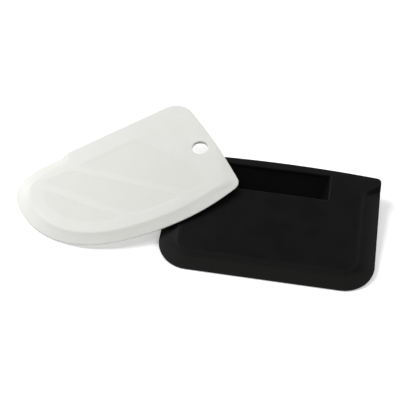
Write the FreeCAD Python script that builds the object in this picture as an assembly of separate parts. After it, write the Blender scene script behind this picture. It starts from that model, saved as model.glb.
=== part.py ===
import FreeCAD, Part
import math
import os

# A set of two moulded plastic dough scrapers lying as a pair: a black bench scraper, and a
# white bowl scraper that leans on it.  Millimetres, +X along the bench scraper's straight
# blade edge, +Y away from that edge, +Z up, table top at Z = 0.

V = FreeCAD.Vector
ORIGIN = V(0, 0, 0)
X_AXIS = V(1, 0, 0)
Y_AXIS = V(0, 1, 0)
Z_AXIS = V(0, 0, 1)
MARGIN = 5.0                   # how far cutting shapes reach past what they cut

# ---- bench scraper, in its own frame: blade edge on Y = 0, flat underside on Z = 0 ----
BENCH_HALF_WIDTH = 72.0
BENCH_DEPTH = 96.9             # blade edge to the crown of the back edge
BACK_EDGE_RADIUS = 900.0       # the back edge is a very shallow arc
BENCH_THICKNESS = 4.0
FRONT_CORNER_RADIUS = 21.5
BACK_CORNER_RADIUS = 3.5
BLADE_WIDTH = 9.5              # thin lip along the sides and the front
BLADE_EDGE_THICKNESS = 0.8
BLADE_ROOT_THICKNESS = 2.8
BLADE_STEP_RUN = 2.2           # slope of the step between the lip and the thick plate
BLADE_END_Y = 78.0             # the side lips stop here, short of the back corners
BLADE_END_RUN = 6.5            # length of the slanting end of each side lip

# ---- its grip: a hollow ridge below the plate, open at the top as a finger pocket ----
POCKET_HALF_LENGTH = 37.0
POCKET_FRONT_Y = 69.0
POCKET_BACK_Y = 90.4
POCKET_DEPTH = 10.0
POCKET_FRONT_RUN = 2.0         # draft of the steep front wall
POCKET_END_RUN = 5.5           # draft of the end walls
POCKET_BACK_RISE = 1.6         # height of the back wall above the sloping floor
GRIP_WALL = 2.2

# ---- bowl scraper, in its own frame: X along the straight back edge, Y to the scraping edge ----
BOWL_THICKNESS = 2.4
BOWL_BACK_LENGTH = 93.8        # straight back edge, up to the start of the lip
BOWL_HEEL_RADIUS = 14.0        # corner between the back edge and the short end
BOWL_TOE_RADIUS = 8.0          # corner between the short end and the scraping edge
HEEL = (0.0, 0.0)
BOWL_TOE = (3.3, 90.2)         # that corner before it is rounded
BOWL_END_MIDDLE = (-0.3, 48.8)  # the short end bulges out to here
SCRAPING_EDGE = [(21.8, 93.9), (43.8, 95.8), (65.8, 94.6), (87.8, 90.8), (108.7, 83.5),
                 (126.7, 70.7), (138.2, 54.0), (142.6, 33.4), (136.2, 9.3), (116.8, 1.6),
                 (100.8, 1.3)]
LIP_WIDTH = 6.5                # thin lip round the nose and along the scraping edge
LIP_BEVEL_RUN = 5.0            # its bevel, from the foot of the step down to the edge
LIP_EDGE_THICKNESS = 0.7
LIP_ROOT_THICKNESS = 1.9
LIP_TOE = (-12.5, -1.8)        # inner corner of the lip at the toe, from its next point
LIP_START = [(109.8, 5.4), (99.3, 4.6)]  # foot of its step, where it begins on the back edge
LIP_END = 0.66                 # the lip reaches the short end at this fraction of it, from the heel
HOLE_RADIUS = 5.6
HOLE_X = 11.3
HOLE_Y = 47.4

# ---- its three shallow grip panels: an oval cut into slanting bands by two ribs.  Each
# slanting line is given by its X at Y = PANEL_DATUM_Y and its slope dX/dY ----
PANEL_INSET = 17.5
PANEL_NOSE = (115.8, 16.0)
PANEL_DEPTH = 0.25
PANEL_DATUM_Y = 20.0
RIB_SPAN = 6.6                 # width of a rib, measured along X
PANEL_END_LINE = (43.8, -0.53)
RIB_LINES = [(91.9, -0.89), (120.0, -0.71)]

# ---- how the two lie: the grip ridge props up the back of the bench scraper, and the bowl
# scraper rests on the bench scraper's left shoulder and on the table ----
SHOULDER_X = -72.0
REST_GAP = 0.3
BOWL_LEAN = 4.21               # degrees, about the shoulder
BOWL_TURN = 218.79             # degrees, heading of the bowl scraper's back edge
BOWL_CORNER = (-5.67, 141.82)  # its back corner from the shoulder, in its own plane


def line(a, b, z):
    return Part.LineSegment(V(*a, z), V(*b, z)).toShape()


def arc(a, middle, b, z):
    return Part.Arc(V(*a, z), V(*middle, z), V(*b, z)).toShape()


def prism(edges, height):
    return Part.Face(Part.Wire(edges)).extrude(V(0, 0, height))


def polygon_prism(points, z, height):
    closed = [V(x, y, z) for x, y in points + points[:1]]
    return Part.Face(Part.makePolygon(closed)).extrude(V(0, 0, height))


def loft(lower_edges, upper_edges):
    return Part.makeLoft([Part.Wire(lower_edges), Part.Wire(upper_edges)], True, True)


def is_upright(edge):
    box = edge.BoundBox
    return box.ZLength > 0.1 and box.XLength < 0.01 and box.YLength < 0.01


def back_edge_y(x):
    return BENCH_DEPTH - x * x / (2.0 * BACK_EDGE_RADIUS)


def front_rim(half, inset, radius, side_y, z):
    """Left side, rounded front corners and right side, all set in by the same amount."""
    nick = radius * (1.0 - math.sqrt(0.5))
    low = inset + radius
    return [
        line((-half, side_y), (-half, low), z),
        arc((-half, low), (-half + nick, inset + nick), (-half + radius, inset), z),
        line((-half + radius, inset), (half - radius, inset), z),
        arc((half - radius, inset), (half - nick, inset + nick), (half, low), z),
        line((half, low), (half, side_y), z),
    ]


def whole_outline(inset, z):
    half = BENCH_HALF_WIDTH - inset
    top = back_edge_y(half)
    rim = front_rim(half, inset, FRONT_CORNER_RADIUS - inset, top, z)
    return rim + [arc((half, top), (0, BENCH_DEPTH), (-half, top), z)]


def thick_outline(inset, z):
    """Set in along the front and sides, but as wide as the whole scraper at the back."""
    half = BENCH_HALF_WIDTH - inset
    full = BENCH_HALF_WIDTH
    end = BLADE_END_Y + BLADE_END_RUN
    top = back_edge_y(full)
    rim = front_rim(half, inset, FRONT_CORNER_RADIUS - BLADE_WIDTH, BLADE_END_Y, z)
    return rim + [
        line((half, BLADE_END_Y), (full, end), z),
        line((full, end), (full, top), z),
        arc((full, top), (0, BENCH_DEPTH), (-full, top), z),
        line((-full, top), (-full, end), z),
        line((-full, end), (-half, BLADE_END_Y), z),
    ]


def bench_blade():
    """The thin lip, sloping up from its edge to the foot of the step."""
    edge = prism(whole_outline(0.0, 0.0), BLADE_EDGE_THICKNESS)
    slope = loft(whole_outline(0.0, BLADE_EDGE_THICKNESS), whole_outline(BLADE_WIDTH, BLADE_ROOT_THICKNESS))
    return edge.fuse(slope)


def bench_plate():
    """The plate at full thickness, with the sloped step down to the lip."""
    return loft(thick_outline(BLADE_WIDTH, 0.0),
                thick_outline(BLADE_WIDTH + BLADE_STEP_RUN, BENCH_THICKNESS))


def scoop(wall):
    """The finger pocket, or with a wall added the ridge that holds it: steep in front, with
    a floor that climbs towards the back edge."""
    z_mouth = BENCH_THICKNESS if wall == 0 else 0.5 * BENCH_THICKNESS
    z_front = BENCH_THICKNESS - POCKET_DEPTH - wall
    z_back = BENCH_THICKNESS - POCKET_BACK_RISE - wall
    half = POCKET_HALF_LENGTH + wall
    end = half - POCKET_END_RUN
    front = POCKET_FRONT_Y - wall
    back = POCKET_BACK_Y + 0.5 * wall
    foot = front + POCKET_FRONT_RUN
    mouth = [V(-half, front, z_mouth), V(half, front, z_mouth),
             V(half, back, z_mouth), V(-half, back, z_mouth)]
    floor = [V(-end, foot, z_front), V(end, foot, z_front),
             V(half, back, z_back), V(-half, back, z_back)]
    rings = [Part.makePolygon(ring + ring[:1]) for ring in (mouth, floor)]
    return Part.makeLoft(rings, True, True)


def bench_scraper():
    plate = bench_blade().fuse(bench_plate()).removeSplitter()
    corners = [edge for edge in plate.Edges
               if is_upright(edge) and edge.BoundBox.YMin > BLADE_END_Y + BLADE_END_RUN + 1.0]
    plate = plate.makeFillet(BACK_CORNER_RADIUS, corners)
    return plate.fuse(scoop(GRIP_WALL)).cut(scoop(0)).removeSplitter()


def scraping_curve():
    """From the toe along the scraping edge and round the nose to the straight back edge."""
    curve = Part.BSplineCurve()
    curve.interpolate([V(x, y, 0) for x, y in [BOWL_TOE] + SCRAPING_EDGE + [(BOWL_BACK_LENGTH, 0.0)]])
    return curve


def short_end(fraction):
    """The short, slightly crowned end, from the heel over the given fraction of its length."""
    whole = Part.Arc(V(*HEEL, 0), V(*BOWL_END_MIDDLE, 0), V(*BOWL_TOE, 0))
    first = whole.FirstParameter
    last = whole.LastParameter
    stop = first + fraction * (last - first)
    return Part.Arc(whole.value(first), whole.value(0.5 * (first + stop)), whole.value(stop)).toShape()


def inset_points(points, inset):
    """The given points of the scraping curve, moved inwards at right angles to it."""
    curve = scraping_curve()
    moved = []
    for x, y in points:
        tangent = curve.tangent(curve.parameter(V(x, y, 0)))[0]
        moved.append(V(x + inset * tangent.y, y - inset * tangent.x, 0))
    return moved


def bowl_blank():
    """The whole outline with its two corners rounded, thinned towards the scraping edge."""
    back = line((BOWL_BACK_LENGTH, 0.0), HEEL, 0.0)
    blank = prism([back, short_end(1.0), scraping_curve().toShape()], LIP_ROOT_THICKNESS)
    corners = [edge for edge in blank.Edges if is_upright(edge)]
    heel = [edge for edge in corners if (edge.BoundBox.Center - V(*HEEL, 0)).Length < 5.0]
    toe = [edge for edge in corners if (edge.BoundBox.Center - V(*BOWL_TOE, 0)).Length < 5.0]
    blank = blank.makeFillet(BOWL_HEEL_RADIUS, heel).makeFillet(BOWL_TOE_RADIUS, toe)
    rim = [edge for edge in blank.Edges
           if edge.BoundBox.ZMin > LIP_ROOT_THICKNESS - 0.01 and edge.BoundBox.XMin > 1.0]
    return blank.makeChamfer(LIP_ROOT_THICKNESS - LIP_EDGE_THICKNESS, LIP_BEVEL_RUN, rim)


def bowl_plate():
    """The thick part: everything inside the lip, and out to the straight back edge and the
    upper half of the short end, which have no lip."""
    along = inset_points(SCRAPING_EDGE[:9], LIP_WIDTH)
    toe = (along[0].x + LIP_TOE[0], along[0].y + LIP_TOE[1])
    inner = Part.BSplineCurve()
    inner.interpolate([V(*toe, 0)] + along + [V(*point, 0) for point in LIP_START])
    end = short_end(LIP_END)
    last = end.Vertexes[1].Point
    plate = prism([
        line((BOWL_BACK_LENGTH, 0.0), HEEL, 0.0),
        end,
        line((last.x, last.y), toe, 0.0),
        inner.toShape(),
        line(LIP_START[-1], (BOWL_BACK_LENGTH, 0.0), 0.0),
    ], BOWL_THICKNESS)
    heel = [edge for edge in plate.Edges
            if is_upright(edge) and (edge.BoundBox.Center - V(*HEEL, 0)).Length < 5.0]
    plate = plate.makeFillet(BOWL_HEEL_RADIUS, heel)
    inner_corner = [edge for edge in plate.Edges
                    if is_upright(edge) and (edge.BoundBox.Center - V(*toe, 0)).Length < 5.0]
    return plate.makeFillet(BOWL_TOE_RADIUS, inner_corner)


def slanted_x(slant, y):
    x_datum, slope = slant
    return x_datum + slope * (y - PANEL_DATUM_Y)


def panel_oval():
    """The region that the panels share: straight towards the back edge, and set in from
    the scraping edge and the nose."""
    curve = Part.BSplineCurve()
    curve.interpolate(inset_points(SCRAPING_EDGE[:8], PANEL_INSET) + [V(*PANEL_NOSE, 0)])
    start = curve.StartPoint
    corner = (start.x - 20.0, PANEL_NOSE[1])
    edges = [curve.toShape(), line(PANEL_NOSE, corner, 0.0), line(corner, (start.x, start.y), 0.0)]
    return prism(edges, BOWL_THICKNESS + MARGIN)


def bowl_panels():
    """The three shallow recesses between the slanting ribs."""
    y_low = 0.0
    y_high = 100.0
    half_rib = 0.5 * RIB_SPAN
    right = [PANEL_END_LINE] + [(x + half_rib, slope) for x, slope in RIB_LINES]
    left = [(x - half_rib, slope) for x, slope in RIB_LINES] + [(200.0, 0.0)]
    floor = BOWL_THICKNESS - PANEL_DEPTH
    oval = panel_oval()
    panels = []
    for low, high in zip(right, left):
        corners = [(slanted_x(low, y_low), y_low), (slanted_x(high, y_low), y_low),
                   (slanted_x(high, y_high), y_high), (slanted_x(low, y_high), y_high)]
        panels.append(polygon_prism(corners, floor, MARGIN).common(oval))
    return panels


def bowl_scraper():
    body = bowl_blank().fuse(bowl_plate()).removeSplitter()
    hole = Part.makeCylinder(HOLE_RADIUS, BOWL_THICKNESS + 2 * MARGIN, V(HOLE_X, HOLE_Y, -MARGIN))
    body = body.cut(hole)
    for panel in bowl_panels():
        body = body.cut(panel)
    return body


def lean_on_bench(shape):
    """From the bowl scraper's own frame to the bench scraper's."""
    shape = shape.copy()
    shape.rotate(ORIGIN, Z_AXIS, BOWL_TURN)
    shape.translate(V(*BOWL_CORNER, 0))
    shape.rotate(ORIGIN, Y_AXIS, -BOWL_LEAN)
    shape.translate(V(SHOULDER_X, 0, BENCH_THICKNESS + REST_GAP))
    return shape


def prop_up(shape):
    """Turn about the blade edge until the grip ridge touches the table."""
    ridge_y = POCKET_FRONT_Y - GRIP_WALL + POCKET_FRONT_RUN
    ridge_drop = POCKET_DEPTH + GRIP_WALL - BENCH_THICKNESS
    shape = shape.copy()
    shape.rotate(ORIGIN, X_AXIS, math.degrees(math.atan2(ridge_drop, ridge_y)))
    return shape


def build():
    os.makedirs("parts", exist_ok=True)
    shapes = {
        "bench_scraper": prop_up(bench_scraper()),
        "bowl_scraper": prop_up(lean_on_bench(bowl_scraper())),
    }
    box = Part.makeCompound(list(shapes.values())).optimalBoundingBox(False)
    for name, shape in shapes.items():
        shape.translate(V(-box.Center.x, -box.Center.y, 0))
        own = shape.optimalBoundingBox(False)
        print(name, shape.isValid(), len(shape.Solids), round(shape.Volume, 1), "lowest", round(own.ZMin, 3))
        shape.exportStep("parts/" + name + ".step")
    print("origin is", round(box.Center.x, 3), round(box.Center.y, 3), "from the blade's middle")


build()
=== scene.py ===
import math

import bpy
import numpy as np
from mathutils import Matrix, Vector
from mathutils.geometry import delaunay_2d_cdt

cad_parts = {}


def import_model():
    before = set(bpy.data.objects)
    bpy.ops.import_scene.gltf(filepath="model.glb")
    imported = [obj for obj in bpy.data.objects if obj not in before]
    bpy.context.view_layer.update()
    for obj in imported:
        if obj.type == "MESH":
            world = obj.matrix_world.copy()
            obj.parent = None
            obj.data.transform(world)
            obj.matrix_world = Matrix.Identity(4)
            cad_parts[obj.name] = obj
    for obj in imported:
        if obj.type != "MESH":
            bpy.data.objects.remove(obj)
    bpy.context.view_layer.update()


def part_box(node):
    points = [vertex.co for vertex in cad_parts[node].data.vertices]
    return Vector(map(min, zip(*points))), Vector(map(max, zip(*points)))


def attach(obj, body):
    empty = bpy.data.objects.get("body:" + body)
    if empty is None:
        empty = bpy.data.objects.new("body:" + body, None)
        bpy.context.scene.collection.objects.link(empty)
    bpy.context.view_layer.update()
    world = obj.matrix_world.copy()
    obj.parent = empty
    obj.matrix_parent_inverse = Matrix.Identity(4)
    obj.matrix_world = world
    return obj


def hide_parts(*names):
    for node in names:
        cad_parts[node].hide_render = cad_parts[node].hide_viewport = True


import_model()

# A pair of moulded plastic dough scrapers.  Each is built in its own flat frame, in
# millimetres, as a height field over its outline, and then laid where the CAD part lies.
MM = 0.001

# ---- bench scraper: blade edge on Y = 0, flat underside on Z = 0 ----
BENCH_HALF = 72.0
BENCH_DEPTH = 96.9
BACK_EDGE_RADIUS = 900.0
BENCH_THICKNESS = 4.0
FRONT_CORNER = 21.5
BACK_CORNER = 3.5
BLADE_WIDTH = 9.5
BLADE_EDGE = 0.8
BLADE_ROOT = 3.0
BLADE_END_Y = 78.0
BLADE_END_RUN = 6.5
STEP_START = -0.9              # the step begins this far outside the thick outline
STEP_RUN = 4.0

# ---- its finger pocket, and the hollow ridge around it below the plate ----
POCKET_HALF = 37.0
POCKET_FRONT = 69.0
POCKET_BACK = 90.4
POCKET_DEPTH = 10.0
POCKET_FRONT_RUN = 2.0
POCKET_END_RUN = 5.5
POCKET_BACK_RISE = 1.6
GRIP_WALL = 2.2
BACK_CROWN = 0.45              # the back edge rolls off by this much
BACK_CROWN_RUN = 7.0

# ---- where its finish changes, and where painted highlight, sheen and shade go ----
RIM_HIGHLIGHT_WIDTH = 1.3             # painted highlight along the rim
POCKET_SHADE = 2.5             # depth at which the pocket is at its darkest
FRONT_SHEEN_FADE = 8.0                # the painted sheen on the front lip fades out over this length
SATIN_MARGIN = 1.6             # the rougher finish reaches this far up past the step

# ---- bowl scraper: X along its straight back edge, Y towards its scraping edge ----
BOWL_THICKNESS = 2.4
BACK_LENGTH = 93.8
HEEL = (0.0, 0.0)
HEEL_RADIUS = 14.5
TOE = (3.3, 90.2)
TOE_RADIUS = 8.0
END_MIDDLE = (-0.3, 48.8)
SCRAPING_EDGE = [(21.8, 93.9), (43.8, 95.8), (65.8, 94.6), (87.8, 90.8), (108.7, 83.5),
                 (126.7, 70.7), (138.2, 54.0), (142.6, 33.4), (136.2, 9.3), (116.8, 1.6),
                 (100.8, 1.3)]
LIP_WIDTH = 6.5
LIP_EDGE = 0.75
LIP_ROOT = 1.9
LIP_STEP_START = -0.6          # the step begins this far outside the thick outline
LIP_STEP_RUN = 3.4
LIP_TOE = (-12.5, -1.8)        # inner corner of the lip at the toe, from its next point
TOE_FADE = 20.0                # near the toe the step grows wider and softer
TOE_STEP_START = -5.0
TOE_STEP_RUN = 9.0
LIP_START = [(109.8, 5.4), (99.3, 4.6)]
LIP_END = 0.66
HOLE = (11.3, 47.4)
HOLE_RADIUS = 5.6
PANEL_INSET = 17.5
PANEL_NOSE = (115.8, 16.0)
PANEL_DEPTH = 0.11
PANEL_EDGE_RUN = 2.6
PANEL_DATUM_Y = 20.0
PANEL_END_LINE = (43.8, -0.53)
RIB_LINES = [(91.9, -0.89), (120.0, -0.71)]
RIB_SPAN = 6.6

# ---- mesh rings along a rim, closest where its edge is rounded ----
RIM_INSETS = (0.06, 0.14, 0.26, 0.42, 0.62, 0.9, 1.4, 2.4, 3.8)
BENCH_INSETS = RIM_INSETS + (5.4,)
POCKET_AREA_HALF = 41.0
POCKET_AREA_FRONT = POCKET_FRONT - 3.5
POCKET_AREA_BACK = 92.6

# ---- how the two lie ----
SHOULDER_X = -72.0
REST_GAP = 0.3
BOWL_LEAN = math.radians(4.21)
BOWL_TURN = math.radians(218.79)
BOWL_CORNER = (-5.67, 141.82)
RIDGE_Y = POCKET_FRONT - GRIP_WALL + POCKET_FRONT_RUN
RIDGE_DROP = POCKET_DEPTH + GRIP_WALL - BENCH_THICKNESS
PROP_ANGLE = math.atan2(RIDGE_DROP, RIDGE_Y)

# ---- camera, as seen from the bench scraper's own frame ----
LOOK_AT = (-50.33, 57.67, 0.0)
VIEW_AZIMUTH = math.radians(9.46)
VIEW_ELEVATION = math.radians(53.0)
VIEW_DISTANCE = 700.0
FOCAL_LENGTH = 91.35
SENSOR_WIDTH = 36.0

# ---- studio light, metres and watts: two softboxes overhead, either side of a dark gap, and
# a white sweep rising behind ----
CENTRE = (0.0, 0.0, 0.0)
LEFT_BOX = (-0.78, 0.48, 0.88)
LEFT_SIZE = (0.55, 0.7)
LEFT_POWER = 13.3
RIGHT_BOX = (0.72, 0.60, 0.95)
RIGHT_SIZE = (0.45, 0.7)
RIGHT_POWER = 4.9
FLOOR_GLOW = 0.28
SWEEP_DIRECTION = (0.0, 0.95, 0.31)
SWEEP = [(0.0, 0.34), (0.62, 0.16), (0.78, 0.16), (0.96, 1.0)]


# ------------------------------------------------------------------ outlines in the plane

def resample(points, step):
    """Points spaced evenly along an open polyline, both ends kept."""
    points = np.asarray(points, float)
    lengths = np.hypot(*np.diff(points, axis=0).T)
    along = np.concatenate([[0.0], np.cumsum(lengths)])
    count = max(2, int(round(along[-1] / step)) + 1)
    at = np.linspace(0.0, along[-1], count)
    return np.stack([np.interp(at, along, points[:, 0]), np.interp(at, along, points[:, 1])], 1)


def spline(knots, samples=40):
    """A smooth curve through the knots: cubic, with natural ends."""
    knots = np.asarray(knots, float)
    t = np.concatenate([[0.0], np.cumsum(np.hypot(*np.diff(knots, axis=0).T))])
    h = np.diff(t)
    n = len(t)
    matrix = np.eye(n)
    right = np.zeros((n, 2))
    for i in range(1, n - 1):
        matrix[i, i - 1:i + 2] = [h[i - 1], 2.0 * (h[i - 1] + h[i]), h[i]]
        right[i] = 6.0 * ((knots[i + 1] - knots[i]) / h[i] - (knots[i] - knots[i - 1]) / h[i - 1])
    bend = np.linalg.solve(matrix, right)
    curve = []
    for i in range(n - 1):
        u = np.linspace(0.0, 1.0, samples, endpoint=(i == n - 2))[:, None]
        a = 1.0 - u
        curve.append(a * knots[i] + u * knots[i + 1]
                     + h[i] ** 2 / 6.0 * ((a ** 3 - a) * bend[i] + (u ** 3 - u) * bend[i + 1]))
    return np.concatenate(curve)


def circle_through(a, b, c, samples=60):
    """The arc from a over b to c."""
    a, b, c = (complex(*p) for p in (a, b, c))
    w = (c - a) / (b - a)
    centre = a + (b - a) * (w - abs(w) ** 2) / (2j * w.imag)
    first = np.angle(a - centre)
    turn = np.angle((c - centre) / (a - centre))
    angles = first + turn * np.linspace(0.0, 1.0, samples)
    arc = centre + abs(a - centre) * np.exp(1j * angles)
    return np.stack([arc.real, arc.imag], 1)


def rounded_polygon(corners, step=0.9):
    """Closed polyline through (x, y, radius) corners."""
    loop = []
    count = len(corners)
    for i in range(count):
        here = np.array(corners[i][:2], float)
        before = np.array(corners[i - 1][:2], float) - here
        after = np.array(corners[(i + 1) % count][:2], float) - here
        radius = corners[i][2]
        before /= np.hypot(*before)
        after /= np.hypot(*after)
        half = 0.5 * math.acos(float(np.clip(before @ after, -1.0, 1.0)))
        if radius == 0.0:
            loop.append(here[None])
            continue
        reach = radius / math.tan(half)
        middle = here + (before + after) / np.hypot(*(before + after)) * (radius / math.sin(half) - radius)
        loop.append(circle_through(here + reach * before, middle, here + reach * after, 24))
    loop = np.concatenate(loop)
    return resample(np.concatenate([loop, loop[:1]]), step)[:-1]


def cut_back(path, length):
    """An open polyline with that much taken off its end."""
    path = resample(path, 0.2)
    return path[:max(2, len(path) - int(round(length / 0.2)))]


def join_rounded(first, second, radius):
    """Two polylines that meet, with the corner between them rounded."""
    into = first[-1] - first[-2]
    out = second[1] - second[0]
    turn = abs(math.atan2(into[0] * out[1] - into[1] * out[0], into @ out))
    reach = radius * math.tan(0.5 * turn)
    first = cut_back(first, reach)
    second = cut_back(second[::-1], reach)[::-1]
    a, d = first[-1], second[0]
    handle = 4.0 / 3.0 * math.tan(0.25 * turn) * radius
    b = a + handle * (first[-1] - first[-2]) / np.hypot(*(first[-1] - first[-2]))
    c = d - handle * (second[1] - second[0]) / np.hypot(*(second[1] - second[0]))
    u = np.linspace(0.0, 1.0, 20)[1:-1, None]
    corner = (1 - u) ** 3 * a + 3 * u * (1 - u) ** 2 * b + 3 * u ** 2 * (1 - u) * c + u ** 3 * d
    return np.concatenate([first, corner, second])


def signed_distance(points, loop):
    """Distance to a closed polyline, positive inside it."""
    a = loop
    b = np.roll(loop, -1, axis=0)
    run = b - a
    result = np.empty(len(points))
    for start in range(0, len(points), 4000):
        p = points[start:start + 4000, None, :]
        part = np.clip(((p - a) * run).sum(2) / (run * run).sum(1), 0.0, 1.0)
        gap = p - a - part[:, :, None] * run
        nearest = np.sqrt((gap * gap).sum(2).min(1))
        crosses = (a[:, 1] > p[:, :, 1]) != (b[:, 1] > p[:, :, 1])
        with np.errstate(divide="ignore", invalid="ignore"):
            x_cross = a[:, 0] + (p[:, :, 1] - a[:, 1]) * run[:, 0] / run[:, 1]
        inside = (crosses & (p[:, :, 0] < x_cross)).sum(1) % 2 == 1
        result[start:start + 4000] = np.where(inside, nearest, -nearest)
    return result


def ring(loop, inset):
    """The closed polyline moved inwards, without the points that folded over."""
    tangent = np.roll(loop, -1, axis=0) - np.roll(loop, 1, axis=0)
    tangent /= np.hypot(*tangent.T)[:, None]
    area = np.sum(loop[:, 0] * np.roll(loop[:, 1], -1) - np.roll(loop[:, 0], -1) * loop[:, 1])
    normal = np.stack([-tangent[:, 1], tangent[:, 0]], 1) * np.sign(area)
    moved = loop + inset * normal
    return moved[np.abs(signed_distance(moved, loop)) > abs(inset) - 0.02]


# ------------------------------------------------------------------ smooth blends of heights

def smoothstep(t):
    t = np.clip(t, 0.0, 1.0)
    return t * t * (3.0 - 2.0 * t)


def smooth_min(a, b, width):
    mix = np.clip(0.5 + 0.5 * (b - a) / width, 0.0, 1.0)
    return b + (a - b) * mix - width * mix * (1.0 - mix)


def smooth_max(a, b, width):
    return -smooth_min(-a, -b, width)


def edge_drop(inside, radius):
    """How far a rounded edge falls away, at a distance inside it."""
    t = np.clip(1.0 - inside / radius, 0.0, 1.0)
    return radius * (1.0 - np.sqrt(np.maximum(0.0, 1.0 - t * t)))


# ------------------------------------------------------------------ height field to mesh

def triangulate(points, loops):
    """Triangles over the points, with the closed loops (outline first, then holes) kept."""
    coords = [Vector(p) for p in np.concatenate(list(loops) + [points])]
    edges = []
    start = 0
    for loop in loops:
        count = len(loop)
        edges += [(start + i, start + (i + 1) % count) for i in range(count)]
        start += count
    verts, _, faces, _, _, _ = delaunay_2d_cdt(coords, edges, [], 0, 1e-6)
    flat = np.array([tuple(v) for v in verts])
    tris = np.array([tuple(f) for f in faces if len(f) == 3])
    middle = flat[tris].mean(1)
    keep = signed_distance(middle, loops[0]) > 0
    for hole in loops[1:]:
        keep &= signed_distance(middle, hole) < 0
    return flat, tris[keep]


def boundary_edges(tris):
    """Directed edges that belong to one triangle only."""
    edges = np.concatenate([tris[:, [0, 1]], tris[:, [1, 2]], tris[:, [2, 0]]])
    seen = {tuple(e) for e in edges.tolist()}
    return [e for e in seen if (e[1], e[0]) not in seen]


def paint(piece, name, values):
    """A number per vertex for the material to read."""
    layer = piece.data.attributes.new(name, "FLOAT", "POINT")
    layer.data.foreach_set("value", np.asarray(values, np.float32))


def flat_points(piece):
    """The X and Y of every vertex, in millimetres, before the piece is placed."""
    spots = np.empty(3 * len(piece.data.vertices))
    piece.data.vertices.foreach_get("co", spots)
    return spots.reshape(-1, 3)[:, :2] / MM


def solid_mesh(name, top_points, bottom_points, loops, top_height, bottom_height):
    """Closed mesh between two height fields over the same outline."""
    top_xy, top_tris = triangulate(top_points, loops)
    low_xy, low_tris = triangulate(bottom_points, loops)
    top = np.column_stack([top_xy, top_height(top_xy)])
    low = np.column_stack([low_xy, bottom_height(low_xy)])
    offset = len(top)
    match = {tuple(np.round(p, 4)): i for i, p in enumerate(low_xy)}
    faces = [tuple(t) for t in top_tris.tolist()]
    faces += [tuple(offset + i for i in reversed(t)) for t in low_tris.tolist()]
    for a, b in boundary_edges(top_tris):
        c = match[tuple(np.round(top_xy[b], 4))]
        d = match[tuple(np.round(top_xy[a], 4))]
        faces.append((b, a, offset + d, offset + c))
    mesh = bpy.data.meshes.new(name)
    mesh.from_pydata((np.concatenate([top, low]) * MM).tolist(), [], faces)
    mesh.validate()
    mesh.shade_smooth()
    piece = bpy.data.objects.new(name, mesh)
    bpy.context.scene.collection.objects.link(piece)
    return piece


def grid(x0, x1, dx, y0, y1, dy):
    xs = np.linspace(x0, x1, int(round((x1 - x0) / dx)) + 1)
    ys = np.linspace(y0, y1, int(round((y1 - y0) / dy)) + 1)
    return np.stack(np.meshgrid(xs, ys), -1).reshape(-1, 2)


# ------------------------------------------------------------------ the bench scraper

def back_edge():
    xs = np.linspace(0.9 * BENCH_HALF, -0.9 * BENCH_HALF, 25)
    return [(x, BENCH_DEPTH - x * x / (2.0 * BACK_EDGE_RADIUS), 0.0) for x in xs]


def bench_outline():
    top = BENCH_DEPTH - BENCH_HALF ** 2 / (2.0 * BACK_EDGE_RADIUS)
    return rounded_polygon([(-BENCH_HALF, top, BACK_CORNER), (-BENCH_HALF, 0.0, FRONT_CORNER),
                            (BENCH_HALF, 0.0, FRONT_CORNER), (BENCH_HALF, top, BACK_CORNER)] + back_edge())


def bench_thick_outline():
    """Where the plate has its full thickness; it runs out past the back of the outline."""
    half = BENCH_HALF - BLADE_WIDTH
    wide = BENCH_HALF + 12.0
    rise = BLADE_END_RUN / BLADE_WIDTH
    end = BLADE_END_Y + rise * (wide - half)
    corner = FRONT_CORNER - BLADE_WIDTH
    return rounded_polygon([(-wide, 130.0, 1.0), (-wide, end, 1.0), (-half, BLADE_END_Y, 5.0),
                            (-half, BLADE_WIDTH, corner), (half, BLADE_WIDTH, corner),
                            (half, BLADE_END_Y, 5.0), (wide, end, 1.0), (wide, 130.0, 1.0)])


BENCH_OUTLINE = bench_outline()
BENCH_THICK = bench_thick_outline()


def scoop_height(points, wall):
    """Floor and walls of the pocket, or of the ridge's underside when a wall is added."""
    x, y = np.abs(points[:, 0]), points[:, 1]
    depth = BENCH_THICKNESS - POCKET_DEPTH - wall
    front = POCKET_FRONT - wall
    foot = front + POCKET_FRONT_RUN
    back = POCKET_BACK + 0.5 * wall
    half = POCKET_HALF + wall
    tall = POCKET_DEPTH - (BENCH_THICKNESS - 2.0 if wall else 0.0) + wall
    front_wall = depth + (foot - y) * tall / POCKET_FRONT_RUN
    end_wall = depth + (x - (half - POCKET_END_RUN)) * tall / POCKET_END_RUN
    floor = depth + (y - foot) * (POCKET_DEPTH - POCKET_BACK_RISE) / (back - foot)
    back_wall = floor + np.maximum(0.0, y - back + 0.3) * 8.0
    height = smooth_max(front_wall, floor, 1.6)
    height = smooth_max(height, end_wall, 1.6)
    return smooth_max(height, back_wall, 0.4)


def bench_top(points):
    inside = signed_distance(points, BENCH_OUTLINE)
    thick = signed_distance(points, BENCH_THICK)
    lip = BLADE_EDGE + (BLADE_ROOT - BLADE_EDGE) * np.clip(inside / BLADE_WIDTH, 0.0, 1.0)
    plate = lip + (BENCH_THICKNESS - lip) * smoothstep((thick - STEP_START) / STEP_RUN)
    to_back = BENCH_DEPTH - points[:, 0] ** 2 / (2.0 * BACK_EDGE_RADIUS) - points[:, 1]
    plate -= BACK_CROWN * np.clip(1.0 - to_back / BACK_CROWN_RUN, 0.0, 1.0) ** 2
    plate -= edge_drop(inside, np.minimum(0.8, 0.42 * plate))
    return smooth_min(plate, scoop_height(points, 0.0), 0.3)


def bench_bottom(points):
    inside = signed_distance(points, BENCH_OUTLINE)
    under = edge_drop(inside, np.full(len(points), 0.3))
    return smooth_min(under, scoop_height(points, GRIP_WALL), 0.5)


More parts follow.
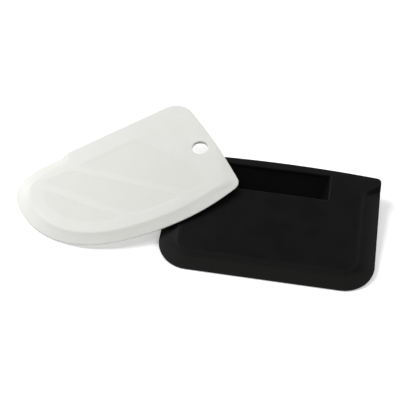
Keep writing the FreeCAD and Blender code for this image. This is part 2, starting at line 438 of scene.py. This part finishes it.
def pocket_points(margin):
    """Denser points where the walls of the pocket are."""
    low = POCKET_FRONT - margin
    parts = [grid(-39.5, 39.5, 1.5, low, POCKET_FRONT + 3.0, 0.3),
             grid(-39.5, 39.5, 1.5, POCKET_FRONT + 3.6, POCKET_BACK - 1.5, 1.2),
             grid(-39.5, 39.5, 1.5, POCKET_BACK - 0.9, POCKET_BACK + 1.6, 0.2)]
    for side in (-1.0, 1.0):
        xs = sorted([side * 29.6, side * 40.1])
        parts.append(grid(xs[0], xs[1], 0.35, low - 0.2, POCKET_BACK + 1.4, 0.7))
    return np.concatenate(parts)


def bench_scraper():
    outline_rings = [ring(BENCH_OUTLINE, inset) for inset in BENCH_INSETS]
    step_rings = [ring(BENCH_THICK, inset) for inset in np.arange(-1.5, 3.3, 0.3)]
    step = np.concatenate(step_rings)
    inside = signed_distance(step, BENCH_OUTLINE)
    step = step[inside > 1.0]
    open_area = grid(-70.0, 70.0, 2.5, 2.0, 95.0, 2.5)
    clear = signed_distance(open_area, BENCH_THICK) > 3.6
    clear &= signed_distance(open_area, BENCH_OUTLINE) > 3.0
    across, along = open_area.T
    clear &= (np.abs(across) > POCKET_AREA_HALF) | (along < POCKET_AREA_FRONT) | (along > POCKET_AREA_BACK)
    top = np.concatenate(outline_rings[:8] + [step, open_area[clear], pocket_points(2.4)])
    bottom = np.concatenate(outline_rings + [open_area[clear], pocket_points(4.6)])
    piece = solid_mesh("bench_scraper_moulding", top, bottom, [BENCH_OUTLINE], bench_top, bench_bottom)
    spots = flat_points(piece)
    inside = signed_distance(spots, BENCH_OUTLINE)
    thick = signed_distance(spots, BENCH_THICK)
    # painted highlight: the rim is painted paler within this width of the outline
    paint(piece, "rim", np.clip(inside / RIM_HIGHLIGHT_WIDTH, 0.0, 1.0))
    # painted sheen: the lip is painted paler towards its outer edge
    paint(piece, "lip", np.clip(thick / BLADE_WIDTH + 1.0, 0.0, 1.0))
    border = 1.0 - smoothstep((thick - STEP_START - SATIN_MARGIN) / STEP_RUN)
    paint(piece, "border", border)
    # painted sheen: the front lip and its step are painted paler, fading out towards the back
    paint(piece, "front", border * smoothstep((BLADE_WIDTH + FRONT_SHEEN_FADE - spots[:, 1]) / FRONT_SHEEN_FADE))
    # painted shade: the pocket is painted darker the deeper it is sunk, and it is also made rougher
    sunk = BENCH_THICKNESS - scoop_height(spots, 0.0)
    paint(piece, "pocket", np.clip(sunk / POCKET_SHADE, 0.0, 1.0))
    return piece


# ------------------------------------------------------------------ the bowl scraper

def scraping_curve():
    return spline([TOE] + SCRAPING_EDGE + [(BACK_LENGTH, 0.0)])


def bowl_outline():
    back = np.array([(BACK_LENGTH, 0.0), (0.5 * BACK_LENGTH, 0.0), HEEL])
    end = circle_through(HEEL, END_MIDDLE, TOE)
    path = join_rounded(back, end, HEEL_RADIUS)
    path = join_rounded(path, scraping_curve(), TOE_RADIUS)
    return resample(path, 0.9)[:-1]


def inset_knots(knots, inset):
    """Points of the scraping curve moved inwards."""
    curve = scraping_curve()
    moved = []
    for knot in knots:
        i = int(np.argmin(np.hypot(*(curve - knot).T)))
        along = curve[i + 1] - curve[i - 1]
        along /= np.hypot(*along)
        moved.append((knot[0] + inset * along[1], knot[1] - inset * along[0]))
    return moved


def bowl_thick_outline():
    """Inner line of the lip, closed outside the two sides that have no lip."""
    along = inset_knots(SCRAPING_EDGE[:9], LIP_WIDTH)
    toe = (along[0][0] + LIP_TOE[0], along[0][1] + LIP_TOE[1])
    end = circle_through(HEEL, END_MIDDLE, TOE)
    stop = end[int(LIP_END * len(end))]
    inner = spline([toe] + along + LIP_START)
    rise = np.array([stop - (toe - stop) * 0.3, toe])
    inner = join_rounded(rise, inner, TOE_RADIUS)
    beyond = LIP_START[-1][0] - 2.2 * LIP_START[-1][1]
    return np.concatenate([resample(inner, 0.9), [(beyond, -12.0), (-12.0, -12.0), (-12.0, inner[0][1])]])


def panel_oval():
    curve = spline(inset_knots(SCRAPING_EDGE[:8], PANEL_INSET) + [PANEL_NOSE])
    corner = (curve[0][0] - 20.0, PANEL_NOSE[1])
    loop = np.concatenate([curve, [corner], curve[:1]])
    return resample(loop, 0.9)[:-1]


BOWL_OUTLINE = bowl_outline()
BOWL_THICK = bowl_thick_outline()
PANEL_OVAL = panel_oval()
HOLE_RIM = rounded_polygon([(HOLE[0] + sx * HOLE_RADIUS, HOLE[1] + sy * HOLE_RADIUS, 0.9999 * HOLE_RADIUS)
                            for sx, sy in ((-1, -1), (1, -1), (1, 1), (-1, 1))], 0.45)


def beside(points, slant, side):
    """Distance to a slanting line, positive on the side of growing (1) or falling (-1) X."""
    x_datum, slope = slant
    across = points[:, 0] - x_datum - slope * (points[:, 1] - PANEL_DATUM_Y)
    return side * across / math.hypot(1.0, slope)


def panel_recess(points):
    """How deep each point is sunk: three panels between slanting ribs."""
    oval = signed_distance(points, PANEL_OVAL)
    half = 0.5 * RIB_SPAN
    starts = [PANEL_END_LINE] + [(x + half, slope) for x, slope in RIB_LINES]
    stops = [(x - half, slope) for x, slope in RIB_LINES] + [(400.0, 0.0)]
    depth = np.zeros(len(points))
    for start, stop in zip(starts, stops):
        within = smooth_min(beside(points, start, 1.0), beside(points, stop, -1.0), 4.0)
        within = smooth_min(within, oval, 4.0)
        depth = np.maximum(depth, smoothstep(within / PANEL_EDGE_RUN + 0.5))
    return PANEL_DEPTH * depth


def rim_distance(points):
    """Distance inside the outline or outside the hole, whichever is nearer."""
    hole = np.hypot(points[:, 0] - HOLE[0], points[:, 1] - HOLE[1]) - HOLE_RADIUS
    return np.minimum(signed_distance(points, BOWL_OUTLINE), np.maximum(hole, 0.0))


def bowl_top(points):
    inside = signed_distance(points, BOWL_OUTLINE)
    thick = signed_distance(points, BOWL_THICK)
    lip = LIP_EDGE + (LIP_ROOT - LIP_EDGE) * np.clip(inside / LIP_WIDTH, 0.0, 1.0)
    soft = 1.0 - smoothstep((points[:, 0] - TOE[0]) / TOE_FADE)
    start = LIP_STEP_START + soft * (TOE_STEP_START - LIP_STEP_START)
    run = LIP_STEP_RUN + soft * (TOE_STEP_RUN - LIP_STEP_RUN)
    height = lip + (BOWL_THICKNESS - lip) * smoothstep((thick - start) / run)
    height -= panel_recess(points)
    return height - edge_drop(rim_distance(points), np.minimum(0.5, 0.42 * height))


def bowl_bottom(points):
    return edge_drop(rim_distance(points), np.full(len(points), 0.28))


def bowl_scraper():
    rings = np.concatenate([ring(BOWL_OUTLINE, inset) for inset in RIM_INSETS])
    around = np.concatenate([ring(HOLE_RIM, -inset) for inset in RIM_INSETS[:7]])
    step = np.concatenate([ring(BOWL_THICK, inset) for inset in np.arange(-1.8, 2.7, 0.3)])
    step = step[signed_distance(step, BOWL_OUTLINE) > 1.0]
    fine = grid(18.0, 136.0, 0.7, 12.0, 84.0, 0.7)
    coarse = grid(2.0, 144.0, 2.4, 2.0, 96.0, 2.4)
    across, along = coarse.T
    coarse = coarse[(across < 17.0) | (along < 11.0) | (along > 85.0) | (across > 137.0)]
    flat = np.concatenate([fine, coarse])
    clear = (signed_distance(flat, BOWL_THICK) > 3.0) & (signed_distance(flat, BOWL_OUTLINE) > 3.0)
    clear &= np.hypot(flat[:, 0] - HOLE[0], flat[:, 1] - HOLE[1]) > HOLE_RADIUS + 2.0
    top = np.concatenate([rings, around, step, flat[clear]])
    under = grid(2.0, 144.0, 3.0, 2.0, 96.0, 3.0)
    under = under[(signed_distance(under, BOWL_OUTLINE) > 5.0)
                  & (np.hypot(under[:, 0] - HOLE[0], under[:, 1] - HOLE[1]) > HOLE_RADIUS + 2.0)]
    bottom = np.concatenate([rings, around, under])
    piece = solid_mesh("bowl_scraper_moulding", top, bottom, [BOWL_OUTLINE, HOLE_RIM], bowl_top, bowl_bottom)
    recess = panel_recess(flat_points(piece)) / PANEL_DEPTH
    paint(piece, "recess", recess)
    return piece


# ------------------------------------------------------------------ materials

def new_material(name):
    material = bpy.data.materials.new(name)
    material.use_nodes = True
    nodes = material.node_tree.nodes
    return material, nodes, material.node_tree.links, nodes["Principled BSDF"]


def ramp(nodes, stops):
    """A colour ramp through (position, grey) or (position, (r, g, b)) stops."""
    node = nodes.new("ShaderNodeValToRGB")
    elements = node.color_ramp.elements
    while len(elements) < len(stops):
        elements.new(0.5)
    for element, (position, value) in zip(elements, stops):
        colour = value if isinstance(value, tuple) else (value, value, value)
        element.position = position
        element.color = (*colour, 1.0)
    return node


def noise(nodes, links, vector, scale, detail=3.0, stretch=None):
    """Noise in the piece's own space, scale in features per metre, optionally drawn out."""
    texture = nodes.new("ShaderNodeTexNoise")
    texture.inputs["Scale"].default_value = scale
    texture.inputs["Detail"].default_value = detail
    if stretch:
        mapping = nodes.new("ShaderNodeMapping")
        mapping.inputs["Scale"].default_value = stretch[:3]
        mapping.inputs["Rotation"].default_value = (0.0, 0.0, stretch[3])
        links.new(vector, mapping.inputs["Vector"])
        vector = mapping.outputs["Vector"]
    links.new(vector, texture.inputs["Vector"])
    return texture.outputs["Fac"]


def blend(nodes, links, factor, first, second, mode="MIX"):
    """Colour mix; the inputs may be sockets or values."""
    mix = nodes.new("ShaderNodeMix")
    mix.data_type = "RGBA"
    mix.blend_type = mode
    for socket, value in ((mix.inputs[0], factor), (mix.inputs[6], first), (mix.inputs[7], second)):
        if isinstance(value, bpy.types.NodeSocket):
            links.new(value, socket)
        else:
            socket.default_value = value
    return mix.outputs[2]


def map_range(nodes, links, value, low, high, to_low, to_high):
    node = nodes.new("ShaderNodeMapRange")
    node.interpolation_type = "SMOOTHSTEP"
    for i, number in enumerate((low, high, to_low, to_high)):
        node.inputs[i + 1].default_value = number
    links.new(value, node.inputs[0])
    return node.outputs["Result"]


def calculate(nodes, links, first, second, operation="ADD"):
    """A maths node; the inputs may be sockets or values."""
    node = nodes.new("ShaderNodeMath")
    node.operation = operation
    for socket, value in ((node.inputs[0], first), (node.inputs[1], second)):
        if isinstance(value, bpy.types.NodeSocket):
            links.new(value, socket)
        else:
            socket.default_value = value
    return node.outputs[0]


def object_space(nodes):
    return nodes.new("ShaderNodeTexCoord").outputs["Object"]


def attribute(nodes, name):
    node = nodes.new("ShaderNodeAttribute")
    node.attribute_name = name
    return node.outputs["Fac"]


def scratches(nodes, links, vector):
    """Fine wiping marks in two directions: 1 in a mark, 0 elsewhere."""
    marks = None
    for scale, angle in ((260.0, 0.5), (340.0, -0.9)):
        streak = noise(nodes, links, vector, scale, 2.0, (1.0, 0.03, 1.0, angle))
        line = map_range(nodes, links, streak, 0.66, 0.74, 0.0, 1.0)
        marks = line if marks is None else calculate(nodes, links, marks, line, "MAXIMUM")
    return marks


def bump(nodes, links, height, distance, strength, under=None):
    node = nodes.new("ShaderNodeBump")
    node.inputs["Distance"].default_value = distance
    node.inputs["Strength"].default_value = strength
    links.new(height, node.inputs["Height"])
    if under:
        links.new(under, node.inputs["Normal"])
    return node.outputs["Normal"]


def moulded_skin(nodes, links, shader, grain, flow, marks):
    """Bump of a moulded part: slight flow waves, spark-eroded grain, then wiping marks."""
    normal = bump(nodes, links, flow, 0.00006, 0.5)
    normal = bump(nodes, links, grain, 0.00003, 0.6, normal)
    normal = bump(nodes, links, calculate(nodes, links, 1.0, marks, "SUBTRACT"), 0.00002, 0.35, normal)
    links.new(normal, shader.inputs["Normal"])


def black_plastic():
    """Near-black satin plastic: fine grain, uneven patches, painted shade darkening the pocket,
    and a rougher lip with painted sheen making it paler, palest along the front, and a painted highlight
    along the rim."""
    material, nodes, links, shader = new_material("black_satin_plastic")
    vector = object_space(nodes)
    grain = noise(nodes, links, vector, 2600.0, 2.0)
    flow = noise(nodes, links, vector, 38.0, 3.0)
    patches = noise(nodes, links, vector, 70.0, 5.0)
    marks = scratches(nodes, links, vector)
    rim = map_range(nodes, links, attribute(nodes, "rim"), 0.0, 1.0, 1.0, 0.0)
    lip = map_range(nodes, links, attribute(nodes, "lip"), 0.0, 1.0, 1.0, 0.0)
    pocket = attribute(nodes, "pocket")
    border = attribute(nodes, "border")
    front = attribute(nodes, "front")

    colour = ramp(nodes, [(0.3, (0.0024, 0.0025, 0.0025)), (0.7, (0.0034, 0.0035, 0.0033))])
    links.new(patches, colour.inputs["Fac"])
    # painted sheen: the lip's colour is lightened
    colour = blend(nodes, links, lip, colour.outputs["Color"], (0.0098, 0.0098, 0.0094, 1.0))
    # painted sheen along the front lip and its step
    colour = blend(nodes, links, front, colour, (0.0095, 0.0095, 0.0090, 1.0))
    # painted highlight along the rim
    colour = blend(nodes, links, rim, colour, (0.013, 0.013, 0.012, 1.0))
    faint = calculate(nodes, links, marks, 0.25, "MULTIPLY")
    colour = blend(nodes, links, faint, colour, (0.012, 0.012, 0.012, 1.0))
    # painted shade: the pocket's colour is darkened to near black
    colour = blend(nodes, links, pocket, colour, (0.0006, 0.0006, 0.0006, 1.0))
    links.new(colour, shader.inputs["Base Color"])

    rough = map_range(nodes, links, patches, 0.3, 0.7, 0.34, 0.40)
    rough = calculate(nodes, links, rough, calculate(nodes, links, grain, 0.06, "MULTIPLY"))
    rough = calculate(nodes, links, rough, calculate(nodes, links, marks, 0.07, "MULTIPLY"), "SUBTRACT")
    rough = calculate(nodes, links, rough, calculate(nodes, links, pocket, 0.50, "MULTIPLY"))
    rough = calculate(nodes, links, rough, calculate(nodes, links, border, 0.22, "MULTIPLY"))
    links.new(rough, shader.inputs["Roughness"])
    shader.inputs["Specular IOR Level"].default_value = 0.09
    moulded_skin(nodes, links, shader, grain, flow, marks)
    return material


def white_plastic():
    """Warm white satin plastic with a little depth: cloudy body, finer grain in the panels."""
    material, nodes, links, shader = new_material("white_satin_plastic")
    vector = object_space(nodes)
    grain = noise(nodes, links, vector, 2200.0, 2.0)
    flow = noise(nodes, links, vector, 24.0, 3.0)
    clouds = noise(nodes, links, vector, 45.0, 4.0)
    marks = scratches(nodes, links, vector)
    recess = attribute(nodes, "recess")

    colour = ramp(nodes, [(0.25, (0.682, 0.683, 0.653)), (0.75, (0.711, 0.709, 0.681))])
    links.new(clouds, colour.inputs["Fac"])
    colour = blend(nodes, links, recess, colour.outputs["Color"], (0.980, 0.980, 0.975, 1.0), "MULTIPLY")
    faint = calculate(nodes, links, marks, 0.10, "MULTIPLY")
    colour = blend(nodes, links, faint, colour, (0.58, 0.58, 0.55, 1.0))
    links.new(colour, shader.inputs["Base Color"])

    rough = map_range(nodes, links, clouds, 0.3, 0.7, 0.36, 0.46)
    rough = calculate(nodes, links, rough, calculate(nodes, links, recess, 0.04, "MULTIPLY"))
    rough = calculate(nodes, links, rough, calculate(nodes, links, grain, 0.06, "MULTIPLY"))
    links.new(rough, shader.inputs["Roughness"])
    shader.inputs["Subsurface Weight"].default_value = 0.18
    shader.inputs["Subsurface Radius"].default_value = (1.0, 0.9, 0.75)
    shader.inputs["Subsurface Scale"].default_value = 0.002
    moulded_skin(nodes, links, shader, grain, flow, marks)
    return material


# ------------------------------------------------------------------ putting it together

def bench_placement():
    """The bench scraper's own frame, as it lies: turned about its blade edge."""
    low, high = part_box("bench_scraper")
    edge = Vector((0.5 * (low.x + high.x), low.y + BLADE_EDGE * MM * math.sin(PROP_ANGLE), 0.0))
    return Matrix.Translation(edge) @ Matrix.Rotation(PROP_ANGLE, 4, "X")


def bowl_placement():
    """The bowl scraper's own frame, as it leans on the bench scraper's left shoulder."""
    shoulder = Vector((SHOULDER_X, 0.0, BENCH_THICKNESS + REST_GAP)) * MM
    corner = Vector((*BOWL_CORNER, 0.0)) * MM
    return (bench_placement() @ Matrix.Translation(shoulder) @ Matrix.Rotation(-BOWL_LEAN, 4, "Y")
            @ Matrix.Translation(corner) @ Matrix.Rotation(BOWL_TURN, 4, "Z"))


def place(piece, matrix, body, node, material):
    piece.data.transform(matrix)
    piece.data.materials.append(material)
    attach(piece, body)
    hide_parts(node)


def camera():
    back = Vector((math.sin(VIEW_AZIMUTH) * math.cos(VIEW_ELEVATION),
                   -math.cos(VIEW_AZIMUTH) * math.cos(VIEW_ELEVATION), math.sin(VIEW_ELEVATION)))
    right = Vector((math.cos(VIEW_AZIMUTH), math.sin(VIEW_AZIMUTH), 0.0))
    up = back.cross(right)
    turn = Matrix((right, up, back)).transposed().to_4x4()
    spot = Matrix.Translation((Vector(LOOK_AT) + VIEW_DISTANCE * back) * MM)
    data = bpy.data.cameras.new("camera")
    data.lens = FOCAL_LENGTH
    data.sensor_width = SENSOR_WIDTH
    view = bpy.data.objects.new("camera", data)
    bpy.context.scene.collection.objects.link(view)
    view.matrix_world = bench_placement() @ spot @ turn
    bpy.context.scene.camera = view


def area_light(name, position, aim, size, power):
    data = bpy.data.lights.new(name, "AREA")
    data.shape = "RECTANGLE"
    data.size, data.size_y = size
    data.energy = power
    lamp = bpy.data.objects.new(name, data)
    bpy.context.scene.collection.objects.link(lamp)
    lamp.location = position
    lamp.rotation_euler = (Vector(aim) - Vector(position)).to_track_quat("-Z", "Y").to_euler()


def floor():
    """A plain pale floor with a slight glow of its own, which keeps its shadows faint."""
    half = 4.0
    mesh = bpy.data.meshes.new("floor")
    mesh.from_pydata([(-half, -half, 0.0), (half, -half, 0.0), (half, half, 0.0), (-half, half, 0.0)],
                     [], [(0, 1, 2, 3)])
    ground = bpy.data.objects.new("floor", mesh)
    bpy.context.scene.collection.objects.link(ground)
    material, _, _, shader = new_material("pale_floor")
    shader.inputs["Base Color"].default_value = (0.97, 0.97, 0.97, 1.0)
    shader.inputs["Emission Color"].default_value = (1.0, 1.0, 1.0, 1.0)
    shader.inputs["Emission Strength"].default_value = FLOOR_GLOW
    shader.inputs["Roughness"].default_value = 0.8
    shader.inputs["Specular IOR Level"].default_value = 0.1
    mesh.materials.append(material)


def world():
    """A dim room with a bright white sweep behind the pair."""
    surround = bpy.data.worlds.new("studio")
    surround.use_nodes = True
    nodes = surround.node_tree.nodes
    links = surround.node_tree.links
    where = nodes.new("ShaderNodeTexCoord")
    facing = nodes.new("ShaderNodeVectorMath")
    facing.operation = "DOT_PRODUCT"
    facing.inputs[1].default_value = SWEEP_DIRECTION
    sweep = ramp(nodes, SWEEP)
    links.new(where.outputs["Generated"], facing.inputs[0])
    links.new(facing.outputs["Value"], sweep.inputs["Fac"])
    links.new(sweep.outputs["Color"], nodes["Background"].inputs["Color"])
    bpy.context.scene.world = surround


def lamps():
    area_light("left_box", LEFT_BOX, CENTRE, LEFT_SIZE, LEFT_POWER)
    area_light("right_box", RIGHT_BOX, CENTRE, RIGHT_SIZE, RIGHT_POWER)


def colour_management():
    bpy.context.scene.view_settings.view_transform = "Standard"


camera()
floor()
world()
lamps()
colour_management()
place(bench_scraper(), bench_placement(), "bench_scraper_body", "bench_scraper",
      black_plastic())
place(bowl_scraper(), bowl_placement(), "bowl_scraper_body", "bowl_scraper",
      white_plastic())
